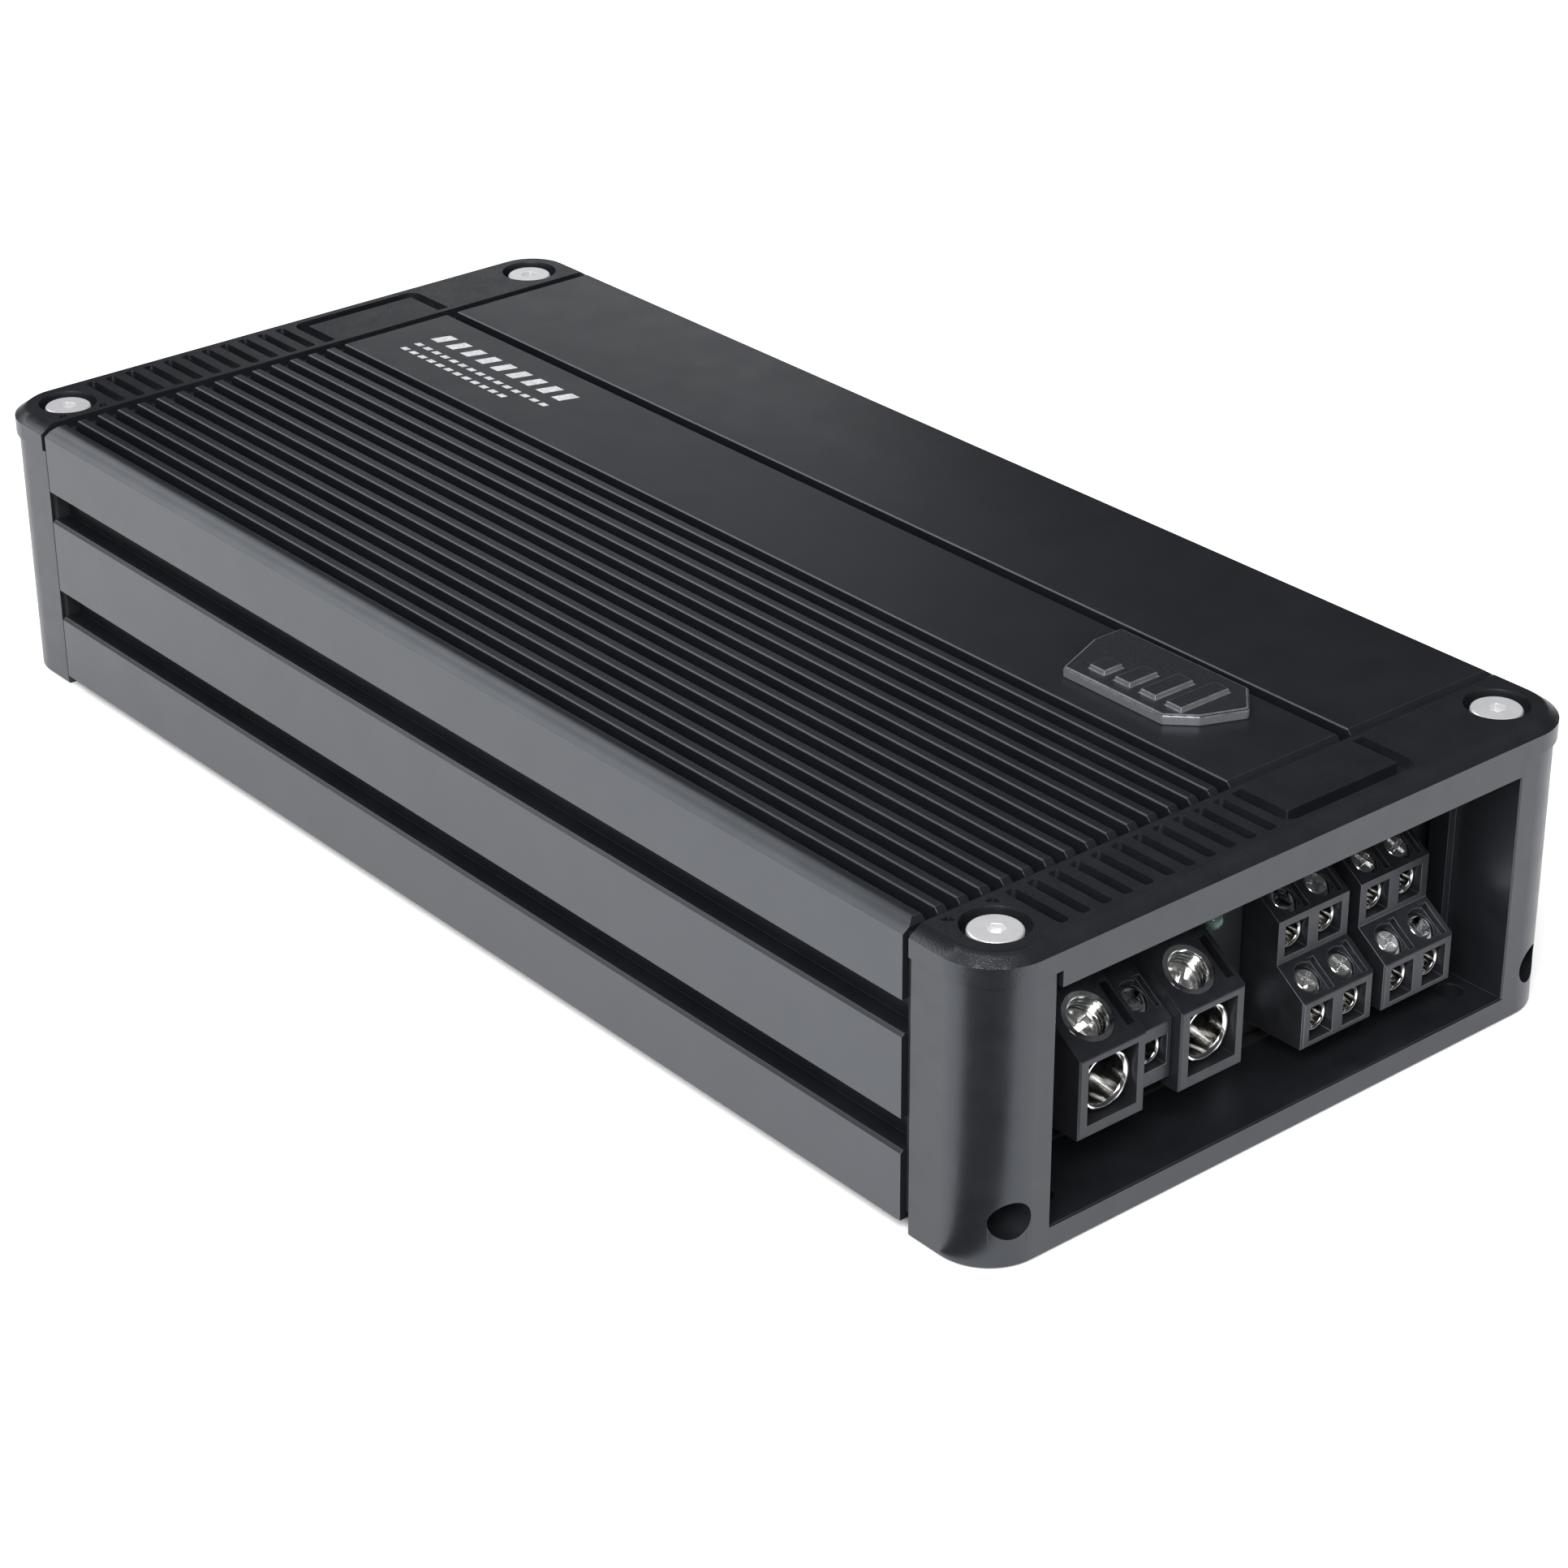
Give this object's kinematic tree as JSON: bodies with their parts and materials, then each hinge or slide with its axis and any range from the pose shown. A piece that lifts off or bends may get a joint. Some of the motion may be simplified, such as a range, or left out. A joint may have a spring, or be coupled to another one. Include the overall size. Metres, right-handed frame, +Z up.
{
  "type": "car amplifier",
  "caption": "Car audio amplifier: finned extrusion with raised side bands, slotted end caps, clamp-screw wire terminals at one end and line inputs with trimmers at the other",
  "frame": {"origin": "centre of the footprint, on the surface that the two end caps stand on", "axes": "+Z up, +X towards the end with the power and speaker terminals, -Y towards the finned side"},
  "size_m": [0.26, 0.12, 0.0524],
  "materials": {
    "anodised_black": "satin black anodised, fine extrusion grain",
    "cast_black": "fine-textured black coat over cast aluminium",
    "sheet_black": "matt black coat",
    "rubber_black": "matt",
    "bright_steel": "satin nickel plate",
    "dark_steel": "black oxide",
    "badge_resin": "smoked, finely hatched",
    "lamp_lens": "clear, faint green tint",
    "terminal_plastic": "moulded, faint sheen",
    "nickel": "bright nickel plate",
    "screw_nickel": "bright nickel plate",
    "board_laminate": "solder mask",
    "ferrite": "ground ferrite",
    "copper_wire": "enamelled copper",
    "can_sleeve": "shrink sleeve",
    "device_epoxy": "moulded epoxy",
    "pad_silicone": "matt silicone",
    "gold_contact": "gold plate",
    "trimmer_plastic": "moulded",
    "slider_plastic": "moulded"
  },
  "bodies": {
    "amplifier": {"heatsink_extrusion": "anodised_black", "front_cap_frame": "cast_black", "rear_cap_frame": "cast_black", "front_cap_cover": "cast_black", "rear_cap_cover": "cast_black", "bottom_plate": "sheet_black", "terminal_panel": "sheet_black", "input_panel": "sheet_black", "front_gasket": "rubber_black", "rear_gasket": "rubber_black", "cover_screws": "bright_steel", "panel_screws": "bright_steel", "board_screws": "bright_steel", "clamp_screws": "bright_steel", "clamp_bars": "bright_steel", "panel_brackets": "bright_steel", "bottom_plate_screws": "dark_steel", "frame_screws": "dark_steel", "badge": "badge_resin", "status_lamp": "lamp_lens", "battery_terminal_housing": "terminal_plastic", "remote_terminal_housing": "terminal_plastic", "ground_terminal_housing": "terminal_plastic", "speaker_housing_a": "terminal_plastic", "speaker_housing_b": "terminal_plastic", "jack_housing": "terminal_plastic", "selector_bodies": "terminal_plastic", "battery_terminal_barrel": "nickel", "remote_terminal_barrel": "nickel", "ground_terminal_barrel": "nickel", "speaker_barrels": "nickel", "jack_shells": "nickel", "main_board": "board_laminate", "transformer_core": "ferrite", "inductor_cores": "ferrite", "transformer_winding": "copper_wire", "inductor_windings": "copper_wire", "bulk_capacitors": "can_sleeve", "power_transistors": "device_epoxy", "thermal_pads": "pad_silicone", "jack_contacts": "gold_contact", "trimmer_bodies": "trimmer_plastic"},
    "battery_clamp_screw": {"battery_clamp_screw": "screw_nickel"},
    "remote_clamp_screw": {"remote_clamp_screw": "screw_nickel"},
    "ground_clamp_screw": {"ground_clamp_screw": "screw_nickel"},
    "speaker_screw_a_lower_1": {"speaker_screw_a_lower_1": "screw_nickel"},
    "speaker_screw_a_lower_2": {"speaker_screw_a_lower_2": "screw_nickel"},
    "speaker_screw_a_upper_1": {"speaker_screw_a_upper_1": "screw_nickel"},
    "speaker_screw_a_upper_2": {"speaker_screw_a_upper_2": "screw_nickel"},
    "speaker_screw_b_lower_1": {"speaker_screw_b_lower_1": "screw_nickel"},
    "speaker_screw_b_lower_2": {"speaker_screw_b_lower_2": "screw_nickel"},
    "speaker_screw_b_upper_1": {"speaker_screw_b_upper_1": "screw_nickel"},
    "speaker_screw_b_upper_2": {"speaker_screw_b_upper_2": "screw_nickel"},
    "trimmer_shaft_1": {"trimmer_shaft_1": "trimmer_plastic"},
    "trimmer_shaft_2": {"trimmer_shaft_2": "trimmer_plastic"},
    "trimmer_shaft_3": {"trimmer_shaft_3": "trimmer_plastic"},
    "trimmer_shaft_4": {"trimmer_shaft_4": "trimmer_plastic"},
    "selector_slider_1": {"selector_slider_1": "slider_plastic"},
    "selector_slider_2": {"selector_slider_2": "slider_plastic"}
  },
  "joints": [
    {"name": "battery_screw_turn", "type": "hinge", "parent": "amplifier", "child": "battery_clamp_screw", "pos_m": [0.1198, -0.0315, 0.02772], "axis": [0.5571, 0, 0.8304], "continuous": true},
    {"name": "remote_screw_turn", "type": "hinge", "parent": "amplifier", "child": "remote_clamp_screw", "pos_m": [0.1184, -0.021, 0.02615], "axis": [0.5569, 0, 0.8306], "continuous": true},
    {"name": "ground_screw_turn", "type": "hinge", "parent": "amplifier", "child": "ground_clamp_screw", "pos_m": [0.1198, -0.0117, 0.02772], "axis": [0.5571, 0, 0.8304], "continuous": true},
    {"name": "speaker_screw_a_lower_1_turn", "type": "hinge", "parent": "amplifier", "child": "speaker_screw_a_lower_1", "pos_m": [0.1217, 0.01185, 0.01805], "axis": [0.558, 0, 0.8298], "continuous": true},
    {"name": "speaker_screw_a_lower_2_turn", "type": "hinge", "parent": "amplifier", "child": "speaker_screw_a_lower_2", "pos_m": [0.1217, 0.01895, 0.01805], "axis": [0.558, 0, 0.8298], "continuous": true},
    {"name": "speaker_screw_a_upper_1_turn", "type": "hinge", "parent": "amplifier", "child": "speaker_screw_a_upper_1", "pos_m": [0.1159, 0.01185, 0.02935], "axis": [0.558, 0, 0.8298], "continuous": true},
    {"name": "speaker_screw_a_upper_2_turn", "type": "hinge", "parent": "amplifier", "child": "speaker_screw_a_upper_2", "pos_m": [0.1159, 0.01895, 0.02935], "axis": [0.558, 0, 0.8298], "continuous": true},
    {"name": "speaker_screw_b_lower_1_turn", "type": "hinge", "parent": "amplifier", "child": "speaker_screw_b_lower_1", "pos_m": [0.1217, 0.02925, 0.01805], "axis": [0.558, 0, 0.8298], "continuous": true},
    {"name": "speaker_screw_b_lower_2_turn", "type": "hinge", "parent": "amplifier", "child": "speaker_screw_b_lower_2", "pos_m": [0.1217, 0.03635, 0.01805], "axis": [0.558, 0, 0.8298], "continuous": true},
    {"name": "speaker_screw_b_upper_1_turn", "type": "hinge", "parent": "amplifier", "child": "speaker_screw_b_upper_1", "pos_m": [0.1159, 0.02925, 0.02935], "axis": [0.558, 0, 0.8298], "continuous": true},
    {"name": "speaker_screw_b_upper_2_turn", "type": "hinge", "parent": "amplifier", "child": "speaker_screw_b_upper_2", "pos_m": [0.1159, 0.03635, 0.02935], "axis": [0.558, 0, 0.8298], "continuous": true},
    {"name": "trimmer_1_turn", "type": "hinge", "parent": "amplifier", "child": "trimmer_shaft_1", "pos_m": [-0.1152, 0.004, 0.026], "axis": [-1, 0, 0], "range_deg": [-140, 140]},
    {"name": "trimmer_2_turn", "type": "hinge", "parent": "amplifier", "child": "trimmer_shaft_2", "pos_m": [-0.1152, 0.015, 0.026], "axis": [-1, 0, 0], "range_deg": [-140, 140]},
    {"name": "trimmer_3_turn", "type": "hinge", "parent": "amplifier", "child": "trimmer_shaft_3", "pos_m": [-0.1152, 0.026, 0.026], "axis": [-1, 0, 0], "range_deg": [-140, 140]},
    {"name": "trimmer_4_turn", "type": "hinge", "parent": "amplifier", "child": "trimmer_shaft_4", "pos_m": [-0.1152, 0.037, 0.026], "axis": [-1, 0, 0], "range_deg": [-140, 140]},
    {"name": "selector_1_slide", "type": "slide", "parent": "amplifier", "child": "selector_slider_1", "axis": [0, 1, 0], "range_m": [-0.002, 0.002]},
    {"name": "selector_2_slide", "type": "slide", "parent": "amplifier", "child": "selector_slider_2", "axis": [0, 1, 0], "range_m": [-0.002, 0.002]}
  ]
}
